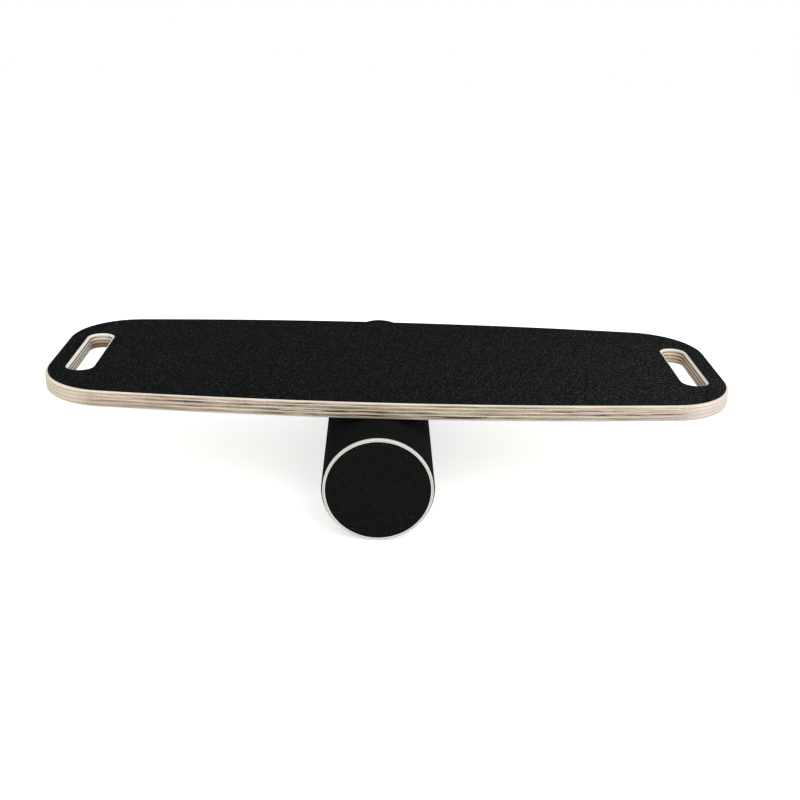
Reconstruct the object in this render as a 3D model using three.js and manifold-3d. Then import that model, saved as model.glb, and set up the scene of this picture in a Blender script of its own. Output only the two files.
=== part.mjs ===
// Rola bola: a plywood balance deck that rocks on a wrapped pipe roller.
// Millimetres, +Z up. X runs along the deck, Y along the roller, and z = 0 is the floor.
// The origin lies on the floor, below the middle of the deck's length and of the roller's.

import * as THREE from "three";
import { mergeVertices } from "three/addons/utils/BufferGeometryUtils.js";
import Module from "manifold-3d";

const wasm = await Module();
wasm.setup();

// Deck board
const DECK_LENGTH = 728;
const DECK_WIDTH = 267; // at the middle of the length
const SIDE_BOW = 21; // how far each long side would draw in at the ends
const CORNER_RADIUS = 75.5;
const BOARD_THICKNESS = 17;
const EDGE_ROUND = 2.5; // round-over on every edge, slots too

// Hand slots through the board
const SLOT_FROM_END = 35.5; // middle of a slot to the deck's end
const SLOT_WIDTH = 25;
const SLOT_LENGTH = 119;

// Grip sheet on the board
const SHEET_THICKNESS = 1;
const SHEET_INSET = 2.8; // bare wood between the sheet and every edge

// Roller
const PIPE_DIAMETER = 110;
const PIPE_WALL = 2.7;
const PIPE_LENGTH = 380;
const PIPE_CHAMFER = 0.5;
const WRAP_THICKNESS = 1.3;
const WRAP_SETBACK = 3.5; // bare pipe at each end
const WRAP_SEAM_GAP = 0.5; // where the two ends of the wrapped sheet meet
const WRAP_SEAM_ANGLE = THREE.MathUtils.degToRad(140); // from the top, round to the right
const PLUG_THICKNESS = 18;
const PLUG_CHAMFER = 1.5; // lead-in on the inner edge
const PAD_THICKNESS = 1;

// Stop battens under the deck
const STOP_FROM_END = 89; // middle of a batten to the deck's end
const STOP_WIDTH = 20;
const STOP_HEIGHT = 14;
const STOP_LENGTH = 170;
const STOP_ROUND = 4; // lower long edges
const STOP_END_ROUND = 1.2;
const STOP_SCREW_FROM_END = 23; // outer screws to the batten's ends

// Wood screws: head diameter, shank diameter and length over all
const STOP_SCREW = { head: 8, shank: 4, length: 24, rim: 0.5, recess: 1.6, sunk: 0.5 };
const PLUG_SCREW = { head: 7, shank: 3.5, length: 20, rim: 0.4, recess: 1.2, sunk: 0.2 };
const RECESS_SLOT_SHARE = 0.14; // width of a cross slot over the head's diameter
const RECESS_SPAN_SHARE = 0.6; // length of a cross slot over the head's diameter
const SCREW_POINT = 3; // length of the tapered point
const SCREWS_PER_PLUG = 3;
const SCREWS_PER_STOP = 3;

// Clearances
const ROLL_GAP = 0.3; // between the deck's underside and the roller
const PLUG_FIT = 0.15; // between a plug, or its pad, and the pipe
const SCREW_FIT = 0.15; // between a screw and its hole
const PILOT_SPARE = 1; // depth of a screw hole past the point
const OVERRUN = 5; // how far a cutter runs past what it cuts

// How the deck lies on the roller at rest
const DECK_SHIFT_RIGHT = 10;
const DECK_SHIFT_FRONT = 10;

// Facets
const ARC_STEPS = 10;
const ROUND_STEPS = 3;
const ROLLER_SIDES = 96;
const SCREW_SIDES = 12;

// Derived sizes
const HALF_LENGTH = DECK_LENGTH / 2;
const HALF_WIDTH = DECK_WIDTH / 2;
const PIPE_RADIUS = PIPE_DIAMETER / 2;
const BORE_RADIUS = PIPE_RADIUS - PIPE_WALL;
const WRAP_RADIUS = PIPE_RADIUS + WRAP_THICKNESS;
const PLUG_RADIUS = BORE_RADIUS - PLUG_FIT;
const HALF_PIPE = PIPE_LENGTH / 2;
const PLUG_MIDDLE = HALF_PIPE - PAD_THICKNESS - PLUG_THICKNESS / 2;
const UNDERSIDE = 2 * WRAP_RADIUS + ROLL_GAP;
const SLOT_X = HALF_LENGTH - SLOT_FROM_END;
const STOP_X = HALF_LENGTH - STOP_FROM_END;
const STOP_SCREW_REACH = STOP_LENGTH / 2 - STOP_SCREW_FROM_END;
const SIDE_RADIUS = (HALF_LENGTH ** 2 + SIDE_BOW ** 2) / (2 * SIDE_BOW);

const birch = new THREE.MeshStandardMaterial({ color: 0xdcc7a6, roughness: 0.6 });
const beech = new THREE.MeshStandardMaterial({ color: 0xc9a27a, roughness: 0.6 });
const grip = new THREE.MeshStandardMaterial({ color: 0x1c1c1d, roughness: 0.92 });
const pipe = new THREE.MeshStandardMaterial({ color: 0xe9e6dc, roughness: 0.42 });
const steel = new THREE.MeshStandardMaterial({ color: 0xb8b9b6, roughness: 0.3, metalness: 1 });

// Solids and booleans

function solidOf(geometry) {
  const bare = geometry.clone();
  bare.deleteAttribute("normal");
  bare.deleteAttribute("uv");
  const merged = mergeVertices(bare);
  return new wasm.Manifold(
    new wasm.Mesh({
      numProp: 3,
      vertProperties: merged.attributes.position.array,
      triVerts: new Uint32Array(merged.index.array),
    }),
  );
}

function geometryOf(solid) {
  const mesh = solid.getMesh();
  const geometry = new THREE.BufferGeometry();
  geometry.setAttribute("position", new THREE.BufferAttribute(mesh.vertProperties, 3));
  geometry.setIndex(new THREE.BufferAttribute(mesh.triVerts, 1));
  geometry.computeVertexNormals();
  return geometry;
}

function cut(geometry, cutters) {
  const left = cutters.reduce((body, cutter) => body.subtract(solidOf(cutter)), solidOf(geometry));
  return geometryOf(left);
}

function named(name, geometry, material) {
  const mesh = new THREE.Mesh(geometry, material);
  mesh.name = name;
  return mesh;
}

// A ring, disc or pin turned round the Y axis from [radius, y] points.
function turned(points, sides) {
  return new THREE.LatheGeometry(
    points.map(([radius, y]) => new THREE.Vector2(radius, y)),
    sides,
  );
}

// Deck outline: straight ends, bowed sides and round corners, drawn in by inset.
function deckOutline(inset) {
  const sideCentre = HALF_WIDTH - SIDE_RADIUS;
  const cornerX = HALF_LENGTH - CORNER_RADIUS;
  const cornerY = sideCentre + Math.sqrt((SIDE_RADIUS - CORNER_RADIUS) ** 2 - cornerX ** 2);
  const turn = Math.atan2(cornerY - sideCentre, cornerX);
  const corner = CORNER_RADIUS - inset;
  const side = SIDE_RADIUS - inset;
  const shape = new THREE.Shape();
  shape.absarc(cornerX, cornerY, corner, 0, turn, false);
  shape.absarc(0, sideCentre, side, turn, Math.PI - turn, false);
  shape.absarc(-cornerX, cornerY, corner, Math.PI - turn, Math.PI, false);
  shape.absarc(-cornerX, -cornerY, corner, Math.PI, Math.PI + turn, false);
  shape.absarc(0, -sideCentre, side, Math.PI + turn, 2 * Math.PI - turn, false);
  shape.absarc(cornerX, -cornerY, corner, 2 * Math.PI - turn, 2 * Math.PI, false);
  return shape;
}

// A slot with round ends, drawn out by spread, centred at x.
function slotOutline(x, spread) {
  const radius = SLOT_WIDTH / 2 + spread;
  const reach = (SLOT_LENGTH - SLOT_WIDTH) / 2;
  const path = new THREE.Path();
  path.absarc(x, reach, radius, 0, Math.PI, false);
  path.absarc(x, -reach, radius, Math.PI, 2 * Math.PI, false);
  return path;
}

function slottedOutline(inset) {
  const shape = deckOutline(inset);
  shape.holes = [-1, 1].map((side) => slotOutline(side * SLOT_X, inset));
  return shape;
}

// Screws

// A countersunk screw along +Y, point down, with the top of its head at y = 0.
function screwProfile({ head, shank, length, rim }, spare) {
  const headRadius = head / 2 + spare;
  const shankRadius = shank / 2 + spare;
  const cone = headRadius - shankRadius; // a right-angled countersink
  const end = length + (spare > 0 ? PILOT_SPARE : 0);
  return [
    [0, -end],
    [shankRadius, -end + SCREW_POINT],
    [shankRadius, -rim - cone],
    [headRadius, -rim],
  ];
}

function screwGeometry(size) {
  const body = turned([...screwProfile(size, 0), [size.head / 2, 0], [0, 0]], SCREW_SIDES);
  const span = size.head * RECESS_SPAN_SHARE;
  const width = size.head * RECESS_SLOT_SHARE;
  const slots = [
    new THREE.BoxGeometry(span, 2 * size.recess, width),
    new THREE.BoxGeometry(width, 2 * size.recess, span),
  ];
  return cut(body, slots);
}

// The hole for the same screw, open at the head's side.
function screwHole(size) {
  const wide = size.head / 2 + SCREW_FIT;
  return turned([...screwProfile(size, SCREW_FIT), [wide, OVERRUN], [0, OVERRUN]], SCREW_SIDES);
}

// Where each screw sits: a group's matrix that carries the head's top to its place.
function stopScrewPlaces(side) {
  const places = [];
  for (let i = 0; i < SCREWS_PER_STOP; i += 1) {
    const y = STOP_SCREW_REACH * ((2 * i) / (SCREWS_PER_STOP - 1) - 1);
    const place = new THREE.Matrix4().makeRotationX(-Math.PI / 2);
    place.setPosition(side * STOP_X, y, -STOP_HEIGHT + STOP_SCREW.sunk);
    places.push(place);
  }
  return places;
}

function plugScrewPlaces(end) {
  const places = [];
  for (let i = 0; i < SCREWS_PER_PLUG; i += 1) {
    const turn = (2 * Math.PI * i) / SCREWS_PER_PLUG;
    const place = new THREE.Matrix4().makeRotationY(turn);
    place.multiply(new THREE.Matrix4().makeTranslation(0, end * PLUG_MIDDLE, PIPE_RADIUS - PLUG_SCREW.sunk));
    place.multiply(new THREE.Matrix4().makeRotationX(Math.PI / 2));
    places.push(place);
  }
  return places;
}

const placed = (geometry, place) => geometry.clone().applyMatrix4(place);

// Deck, in a frame of its own: x and y from the board's middle, z = 0 at its underside.

function boardGeometry() {
  const body = new THREE.ExtrudeGeometry(slottedOutline(0), {
    depth: BOARD_THICKNESS - 2 * EDGE_ROUND,
    curveSegments: ARC_STEPS,
    bevelThickness: EDGE_ROUND,
    bevelSize: EDGE_ROUND,
    bevelOffset: -EDGE_ROUND,
    bevelSegments: ROUND_STEPS,
  });
  body.translate(0, 0, EDGE_ROUND);
  const places = [-1, 1].flatMap(stopScrewPlaces);
  const holes = places.map((place) => placed(screwHole(STOP_SCREW), place));
  return cut(body, holes);
}

function sheetGeometry() {
  const sheet = new THREE.ExtrudeGeometry(slottedOutline(SHEET_INSET), {
    depth: SHEET_THICKNESS,
    curveSegments: ARC_STEPS,
    bevelEnabled: false,
  });
  return sheet.translate(0, 0, BOARD_THICKNESS);
}

function stopOutline() {
  const half = STOP_WIDTH / 2 - STOP_END_ROUND;
  const low = -STOP_HEIGHT + STOP_END_ROUND;
  const round = STOP_ROUND - STOP_END_ROUND;
  const shape = new THREE.Shape();
  shape.moveTo(half, -STOP_END_ROUND);
  shape.lineTo(-half, -STOP_END_ROUND);
  shape.absarc(-half + round, low + round, round, Math.PI, Math.PI * 1.5, false);
  shape.absarc(half - round, low + round, round, Math.PI * 1.5, Math.PI * 2, false);
  return shape;
}

function stopGeometry(side) {
  const bar = new THREE.ExtrudeGeometry(stopOutline(), {
    depth: STOP_LENGTH - 2 * STOP_END_ROUND,
    curveSegments: ROUND_STEPS,
    bevelThickness: STOP_END_ROUND,
    bevelSize: STOP_END_ROUND,
    bevelSegments: ROUND_STEPS,
  });
  bar.translate(0, 0, STOP_END_ROUND - STOP_LENGTH / 2);
  bar.rotateX(Math.PI / 2);
  bar.translate(side * STOP_X, 0, 0);
  return cut(bar, stopScrewPlaces(side).map((place) => placed(screwHole(STOP_SCREW), place)));
}

function makeDeck() {
  const deck = new THREE.Group();
  deck.add(named("deck_board", boardGeometry(), birch));
  deck.add(named("deck_grip_sheet", sheetGeometry(), grip));
  for (const [word, side] of [["left", -1], ["right", 1]]) {
    deck.add(named(`stop_${word}`, stopGeometry(side), beech));
    stopScrewPlaces(side).forEach((place, i) => {
      deck.add(named(`stop_screw_${word}_${i + 1}`, placed(screwGeometry(STOP_SCREW), place), steel));
    });
  }
  return deck;
}

// Roller, in a frame of its own: turned round the Y axis, y = 0 at the middle of its length.

function plugScrewHoles(end) {
  return plugScrewPlaces(end).map((place) => placed(screwHole(PLUG_SCREW), place));
}

function pipeGeometry() {
  const c = PIPE_CHAMFER;
  const body = turned(
    [
      [BORE_RADIUS + c, -HALF_PIPE],
      [PIPE_RADIUS - c, -HALF_PIPE],
      [PIPE_RADIUS, -HALF_PIPE + c],
      [PIPE_RADIUS, HALF_PIPE - c],
      [PIPE_RADIUS - c, HALF_PIPE],
      [BORE_RADIUS + c, HALF_PIPE],
      [BORE_RADIUS, HALF_PIPE - c],
      [BORE_RADIUS, -HALF_PIPE + c],
      [BORE_RADIUS + c, -HALF_PIPE],
    ],
    ROLLER_SIDES,
  );
  return cut(body, [...plugScrewHoles(-1), ...plugScrewHoles(1)]);
}

function wrapGeometry() {
  const half = HALF_PIPE - WRAP_SETBACK;
  const body = turned(
    [
      [PIPE_RADIUS, -half],
      [WRAP_RADIUS, -half],
      [WRAP_RADIUS, half],
      [PIPE_RADIUS, half],
      [PIPE_RADIUS, -half],
    ],
    ROLLER_SIDES,
  );
  const seam = new THREE.BoxGeometry(WRAP_SEAM_GAP, PIPE_LENGTH, 2 * WRAP_THICKNESS + OVERRUN);
  seam.translate(0, 0, PIPE_RADIUS + WRAP_THICKNESS / 2);
  seam.rotateY(WRAP_SEAM_ANGLE);
  return cut(body, [seam]);
}

function plugGeometry(end) {
  const outer = HALF_PIPE - PAD_THICKNESS;
  const inner = outer - PLUG_THICKNESS;
  const body = turned(
    [
      [0, inner],
      [PLUG_RADIUS - PLUG_CHAMFER, inner],
      [PLUG_RADIUS, inner + PLUG_CHAMFER],
      [PLUG_RADIUS, outer],
      [0, outer],
    ],
    ROLLER_SIDES,
  );
  if (end < 0) body.rotateX(Math.PI);
  return cut(body, plugScrewHoles(end));
}

function padGeometry(end) {
  const pad = new THREE.CylinderGeometry(PLUG_RADIUS, PLUG_RADIUS, PAD_THICKNESS, ROLLER_SIDES);
  return pad.translate(0, end * (HALF_PIPE - PAD_THICKNESS / 2), 0);
}

function makeRoller() {
  const roller = new THREE.Group();
  roller.add(named("roller_tube", pipeGeometry(), pipe));
  roller.add(named("roller_wrap", wrapGeometry(), grip));
  for (const [word, end] of [["front", -1], ["back", 1]]) {
    roller.add(named(`end_plug_${word}`, plugGeometry(end), birch));
    roller.add(named(`end_pad_${word}`, padGeometry(end), grip));
    plugScrewPlaces(end).forEach((place, i) => {
      roller.add(named(`plug_screw_${word}_${i + 1}`, placed(screwGeometry(PLUG_SCREW), place), steel));
    });
  }
  return roller;
}

// The set at rest: the roller on the floor, the deck across it.

const rolaBola = new THREE.Group();
const deck = makeDeck();
deck.position.set(0, -DECK_SHIFT_FRONT, UNDERSIDE);
const roller = makeRoller();
roller.position.set(-DECK_SHIFT_RIGHT, 0, WRAP_RADIUS);
rolaBola.add(deck, roller);

export default rolaBola;
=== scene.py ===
# %% [markdown]
# # A rola bola: plywood deck and wrapped pipe roller
# A rola bola is a flat deck that rocks on a loose roller while someone stands on it. This one is
# a routed plywood board under a black grip sheet, on a length of plastic pipe that is wrapped in
# the same sort of sheet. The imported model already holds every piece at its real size. This lesson
# gives the pieces their fine edges and their finishes. Lengths are in metres and +Z is up.

import math
from types import SimpleNamespace

import bmesh
import bpy
from mathutils import Matrix, Vector


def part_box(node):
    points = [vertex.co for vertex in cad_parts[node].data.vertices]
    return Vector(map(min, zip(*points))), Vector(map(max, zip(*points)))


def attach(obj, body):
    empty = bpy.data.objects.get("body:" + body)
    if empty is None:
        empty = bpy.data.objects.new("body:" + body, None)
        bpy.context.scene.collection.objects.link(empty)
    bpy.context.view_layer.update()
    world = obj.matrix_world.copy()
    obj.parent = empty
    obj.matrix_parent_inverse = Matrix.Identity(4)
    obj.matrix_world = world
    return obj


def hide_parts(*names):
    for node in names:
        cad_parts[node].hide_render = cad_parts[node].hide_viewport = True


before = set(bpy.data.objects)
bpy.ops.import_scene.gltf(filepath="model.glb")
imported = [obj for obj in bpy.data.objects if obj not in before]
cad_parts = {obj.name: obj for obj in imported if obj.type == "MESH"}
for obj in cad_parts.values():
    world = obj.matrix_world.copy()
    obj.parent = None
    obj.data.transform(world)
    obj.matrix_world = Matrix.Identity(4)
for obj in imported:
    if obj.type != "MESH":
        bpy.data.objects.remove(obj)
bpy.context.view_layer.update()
MM = 0.001


def in_mm(vector):
    return tuple(round(v / MM, 1) for v in vector)


# %% [markdown]
# ## Where everything is
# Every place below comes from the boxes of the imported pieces. Only the curves that a box can't
# tell are given here as sizes: the bow of the long sides, the corners, the slots and the router's
# round-over.


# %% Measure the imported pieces
def middle(node):
    low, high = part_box(node)
    return (low + high) / 2


def size(node):
    low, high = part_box(node)
    return high - low


deck_at = middle("deck_board")
roller_at = middle("roller_tube")
half_length = size("deck_board").x / 2
half_width = size("deck_board").y / 2
board_low, board_high = (corner.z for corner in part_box("deck_board"))
board_thickness = board_high - board_low
sheet_low, sheet_high = (corner.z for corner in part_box("deck_grip_sheet"))
sheet_inset = half_length - size("deck_grip_sheet").x / 2
pipe_radius = size("roller_tube").x / 2
half_pipe = size("roller_tube").y / 2
wrap_radius = size("roller_wrap").x / 2
print("deck middle", in_mm(deck_at), "roller middle", in_mm(roller_at))
print("sheet inset", round(sheet_inset / MM, 2), "pipe radius", round(pipe_radius / MM, 2))

# %% Name the curves of the deck
SIDE_BOW = 21 * MM
CORNER_RADIUS = 75.5 * MM
EDGE_ROUND = 2.5 * MM
SLOT_FROM_END = 35.5 * MM
SLOT_WIDTH = 25 * MM
SLOT_LENGTH = 119 * MM

side_radius = (half_length**2 + SIDE_BOW**2) / (2 * SIDE_BOW)
side_centre = Vector((0, half_width - side_radius, 0))
corner_x = half_length - CORNER_RADIUS
corner_rise = math.sqrt((side_radius - CORNER_RADIUS) ** 2 - corner_x**2)
corner_centre = Vector((corner_x, side_centre.y + corner_rise, 0))
corner_turn = math.atan2(corner_rise, corner_x)
slot_x = half_length - SLOT_FROM_END
slot_reach = (SLOT_LENGTH - SLOT_WIDTH) / 2
print("side radius", round(side_radius / MM), "corner turn", round(math.degrees(corner_turn), 1))

# %% [markdown]
# ## The camera
# The photograph looks down at the front of the deck from about 1.2 m, with a plain 50 mm lens.
# The deck stands level in the model and leans two degrees in the picture, so the camera leans
# the other way. The camera comes first because every finish is judged through it.

# %% Set the camera
CAMERA_AT = Vector((-19.93, -1183.15, 548.61)) * MM
CAMERA_AZIMUTH = math.radians(1.632)
CAMERA_DOWN = math.radians(21.705)
CAMERA_ROLL = math.radians(2.071)
LENS_MM = 50.515

camera = bpy.data.objects.new("camera", bpy.data.cameras.new("camera"))
bpy.context.scene.collection.objects.link(camera)
bpy.context.scene.camera = camera
camera.data.lens = LENS_MM
camera.rotation_euler = (math.pi / 2 - CAMERA_DOWN, 0, -CAMERA_AZIMUTH)
camera.rotation_euler.rotate_axis("Z", CAMERA_ROLL)
camera.location = CAMERA_AT
print("camera at", in_mm(camera.location), "lens", camera.data.lens)

# %% [markdown]
# ## Small tools for shapes
# A board's edge, a pipe and a screw are all one drawn line that is carried somewhere. `push`
# carries geometry along a straight leg and `turn` carries it round an arc. Each leaves an edge
# behind a point and a face behind a line, as the extrude and spin tools do. `broken` rounds what
# a maker would sand or file, because no real edge is perfectly sharp.

# %% Push, turn and break
WELD = 0.001 * MM  # points that are closer than this are one point


def only(kind, geometry):
    return [g for g in geometry if isinstance(g, kind)]


def push(bm, geometry, by):
    made = bmesh.ops.extrude_face_region(bm, geom=geometry)["geom"]
    bmesh.ops.translate(bm, verts=only(bmesh.types.BMVert, made), vec=by)
    return made


def turn(bm, geometry, centre, axis, angle, steps):
    spun = bmesh.ops.spin(
        bm, geom=geometry, cent=centre, axis=axis, angle=angle, steps=steps, use_duplicate=False
    )
    return spun["geom_last"]


def level_along(edge, axis):
    """Whether an edge's two ends are equally far along an axis."""
    first, second = (getattr(v.co, axis) for v in edge.verts)
    return abs(first - second) < WELD


def rotate(bm, verts, angle, axis):
    bmesh.ops.rotate(bm, verts=verts, cent=(0, 0, 0), matrix=Matrix.Rotation(angle, 3, axis))


def broken(bm, geometry, offset, segments, affect="EDGES"):
    bmesh.ops.bevel(
        bm,
        geom=geometry,
        offset=offset,
        offset_type="OFFSET",
        segments=segments,
        profile=0.5,
        affect=affect,
        material=-1,
    )


def drawn_since(bm, known):
    """The edges drawn after known was taken, with their points."""
    edges = [e for e in bm.edges if e not in known]
    points = list(dict.fromkeys(v for e in edges for v in e.verts))
    return edges + points


X_AXIS, Y_AXIS, Z_AXIS = (Vector(row) for row in ((1, 0, 0), (0, 1, 0), (0, 0, 1)))
QUARTER = math.pi / 2

# %% [markdown]
# ## One way to finish every piece
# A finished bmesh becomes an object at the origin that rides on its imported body. Weighted normals
# let the big flat faces stay flat and give all the shading to the small round-overs, so an edge
# catches one clean line of light.

# %% Make a piece
SHARP = math.radians(40)  # an edge that turns more than this stays crisp


def make_piece(name, bm, body, slot, material, *nodes):
    bmesh.ops.remove_doubles(bm, verts=bm.verts, dist=WELD)
    bmesh.ops.recalc_face_normals(bm, faces=bm.faces)
    open_edges = sum(not e.is_manifold for e in bm.edges)
    mesh = bpy.data.meshes.new(name)
    bm.to_mesh(mesh)
    bm.free()
    mesh.shade_smooth()
    mesh.set_sharp_from_angle(angle=SHARP)
    mesh.materials.append(material)
    piece = bpy.data.objects.new(name, mesh)
    bpy.context.scene.collection.objects.link(piece)
    piece.modifiers.new("flat faces stay flat", "WEIGHTED_NORMAL").keep_sharp = True
    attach(piece, body)
    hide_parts(*nodes)
    print(name, len(mesh.polygons), "faces,", open_edges, "open edges")


# %% [markdown]
# ## Tools for finishes
# Colours are picked as sRGB hex values, and one function turns them to the linear light that the
# shaders use. Another adds a node with its settings and links. It fills the sockets by name, or in
# the order in which the editor shows them, and a link may come from a node as a whole, so each
# finish reads as a short recipe. A place such as the rim of a slot is told by several measures at
# once, so `share_of` multiplies what each of them gives.


# %% Colours and nodes
def colour(hex_value):
    channels = [int(hex_value[i : i + 2], 16) / 255 for i in (1, 3, 5)]
    linear = [c / 12.92 if c <= 0.04045 else ((c + 0.055) / 1.055) ** 2.4 for c in channels]
    return (*linear, 1)


def feed(node, inputs):
    """Sets the sockets in use, by name or in their order, to values or to links."""
    sockets = [socket for socket in node.inputs if socket.enabled]
    if isinstance(inputs, dict):
        sockets = [next(s for s in sockets if s.name == name) for name in inputs]
        inputs = inputs.values()
    for socket, value in zip(sockets, inputs):
        if isinstance(value, bpy.types.Node):
            value = next(output for output in value.outputs if output.enabled)
        if isinstance(value, bpy.types.NodeSocket):
            node.id_data.links.new(value, socket)
        else:
            socket.default_value = value


def add(tree, kind, inputs, **settings):
    """A new node: settings are its own options, and inputs go to its sockets."""
    made = tree.nodes.new(kind)
    for name, value in settings.items():
        setattr(made, name, value)
    feed(made, inputs)
    return made


def new_finish(name):
    made = bpy.data.materials.new(name)
    made.use_nodes = True
    return made, made.node_tree, made.node_tree.nodes["Principled BSDF"]


def paint_ramp(ramp, stops):
    """Sets a colour ramp's stops from (position, hex colour) pairs."""
    elements = ramp.color_ramp.elements
    while len(elements) < len(stops):
        elements.new(1)
    for element, (position, hex_value) in zip(elements, stops):
        element.position = position
        element.color = colour(hex_value)
    return ramp


def share_of(tree, ranges, share=1):
    """share, times what each range gives: its source, read from start to end as low to high."""
    for source, start, end, low, high in ranges:
        part = add(tree, "ShaderNodeMapRange", [source, start, end, low, high])
        share = add(tree, "ShaderNodeMath", [share, part], operation="MULTIPLY")
    return share


# %% [markdown]
# ## Birch plywood
# The board is birch plywood: nine thin sheets, peeled from the log, glued with the grain of each
# one across the next, and then routed, sanded and clear sealed. It is a solid pattern, and the
# board's edge only cuts it open. So the finish is a solid texture too, and the stripes come out
# right on every wall, round every corner and in the slots, with no unwrapping.
#
# To the eye this gives pale satin stripes, cream where a sheet is cut along its grain and tan
# where it is cut across, with fine lines, short dark dashes and a paler rounding, partly sanded and
# partly a painted highlight.

# %% Plywood sizes
LONG_PLIES, CROSS_PLIES = 5, 4
LONG_PLY = 1.35 * MM  # the outer sheets and every second one lie along the board
OUTER_MARGIN = 0.4 * MM  # keeps joints off the two outer faces
SANDED_OFF = 1.1 * MM  # the stack sits this much higher, and its top sheet is sanded thinner
PLY_WAVE = 0.4 * MM  # how far a sheet wanders up and down
PLY_WAVE_LENGTH = 80 * MM

# Each noise is stretched to a size along the grain, across it and through the sheet.
GRAIN_FLOW = (240 * MM, 34 * MM, 0.9 * MM)
GRAIN_LINES = (30 * MM, 1.3 * MM, 0.6 * MM)  # the vessels are 0.1 mm wide, drawn coarser to show
DARK_DASHES = (70 * MM, 45 * MM, 1.5 * MM)  # fine checks in the sheets, drawn thicker to show
GRAIN_RELIEF = 0.12 * MM
SAW_FUZZ = 1.4 * MM  # torn fibre ends of about 0.3 mm, drawn coarser to show
BOARD_PATCHES = 110 * MM
PAINTED_SHADE_HEIGHT = 10 * MM  # up to here the edge is a little darker: painted shade

# The board is darkest in one place and warmest in another.
DARKEST_AT = Vector((-20, -133, 8)) * MM
WARMEST_AT = Vector((330, -90, 8)) * MM
DARK_PULL, WARM_PULL, FAR_PULL = 0.2, 0.15, -0.03  # what is added to the patches, near and far
PLACE_REACH = 220 * MM
EVEN_FROM, EVEN_TO = 200 * MM, 330 * MM  # this far from the darkest place the stripes grow even

cross_ply = (board_thickness - LONG_PLIES * LONG_PLY) / CROSS_PLIES
ply_pair = LONG_PLY + cross_ply
print("plies in mm:", round(LONG_PLY / MM, 2), "along and", round(cross_ply / MM, 2), "across")

# %% Plywood colours
LONG_GRAIN = [(0.36, "#cfc2af"), (0.50, "#e6dccd"), (0.62, "#f5efe6")]
CUT_GRAIN = [(0.36, "#87725f"), (0.46, "#a99984"), (0.56, "#c2b4a2"), (0.68, "#dfd3c5")]
PATCH_TINTS = [(0.38, "#f6f4e8"), (0.50, "#fbf6ef"), (0.62, "#fdf5f9")]
DASH = "#3d2c1c"
ARRIS = "#f8f2e9"  # sanding leaves the rounded edge paler, and a painted highlight adds to it where it faces up or down

# %% [markdown]
# ## The stack and its grain
# The height above the lower face picks the sheet. The sheets come in pairs, one along the board
# and one across it, so a remainder tells how far up its pair a point lies. Every second sheet has
# its grain turned, which only takes a swap of X and Y before the noises are stretched along it.


# %% Find the sheet
def sheet_at(tree, at):
    """How far up its pair a point lies, whether its sheet is a crossed one, and its number."""
    height = add(tree, "ShaderNodeSeparateXYZ", [at]).outputs["Z"]
    wander = add(tree, "ShaderNodeTexNoise", {"Vector": at, "Scale": 1 / PLY_WAVE_LENGTH})
    shift = add(tree, "ShaderNodeMapRange", [wander, 0, 1, -PLY_WAVE, PLY_WAVE])
    waved = add(tree, "ShaderNodeMath", [height, shift], operation="ADD")
    inside = add(
        tree, "ShaderNodeClamp", [waved, OUTER_MARGIN, board_thickness - OUTER_MARGIN]
    )
    pairs = add(tree, "ShaderNodeMath", [inside, ply_pair], operation="DIVIDE")
    pair = add(tree, "ShaderNodeMath", [pairs], operation="FLOOR")
    rise = add(tree, "ShaderNodeMath", [inside, ply_pair], operation="FLOORED_MODULO")
    crossed = add(tree, "ShaderNodeMath", [rise, LONG_PLY], operation="GREATER_THAN")
    ply = add(tree, "ShaderNodeMath", [pair, 2, crossed], operation="MULTIPLY_ADD")
    return rise, crossed, ply


# %% Pull the grain
def grain_of(tree, at, crossed, ply):
    """The slow flow, the fine lines and the dashes, each pulled long along its sheet's grain."""
    x, y, z = add(tree, "ShaderNodeSeparateXYZ", [at]).outputs
    swapped = add(tree, "ShaderNodeCombineXYZ", [y, x, z])
    along = add(tree, "ShaderNodeMix", [crossed, at, swapped], data_type="VECTOR")
    noises = []
    for stretch, detail in ((GRAIN_FLOW, 4), (GRAIN_LINES, 3), (DARK_DASHES, 4)):
        scaled = add(tree, "ShaderNodeVectorMath", [along, stretch], operation="DIVIDE")
        noise = add(
            tree,
            "ShaderNodeTexNoise",
            {"Vector": scaled, "W": ply, "Scale": 1, "Detail": detail},
            noise_dimensions="4D",
        )
        noises.append(noise)
    return noises


# %% [markdown]
# ## The plywood's colour
# Two ramps colour the same grain, one for wood that is cut along the fibres and one for wood that
# is cut across them, and the way the surface faces mixes the two. Patches of warmth, the fine
# lines and the torn fibres shade the result, and a painted shade darkens the lower part of the
# edge. The dark dashes come last, over everything, and most of them lie in the sheets that are cut
# across.


# %% Gather the patches
def patches_of(tree, at, ply):
    """The way to the darkest place, and the patches that gather there and round the warmest."""
    patches = add(
        tree,
        "ShaderNodeTexNoise",
        {"Vector": at, "W": ply, "Scale": 1 / BOARD_PATCHES, "Detail": 2},
        noise_dimensions="4D",
    )
    from_darkest, from_warmest = (
        add(tree, "ShaderNodeVectorMath", [at, place], operation="DISTANCE")
        for place in (DARKEST_AT, WARMEST_AT)
    )
    nearer, warmer = (
        add(tree, "ShaderNodeMapRange", [away, 0, PLACE_REACH, pull, FAR_PULL])
        for away, pull in ((from_darkest, DARK_PULL), (from_warmest, WARM_PULL))
    )
    crowd, warmth = (
        add(tree, "ShaderNodeMath", [patches, near], operation="ADD")
        for near in (nearer, warmer)
    )
    return from_darkest, crowd, warmth


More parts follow.
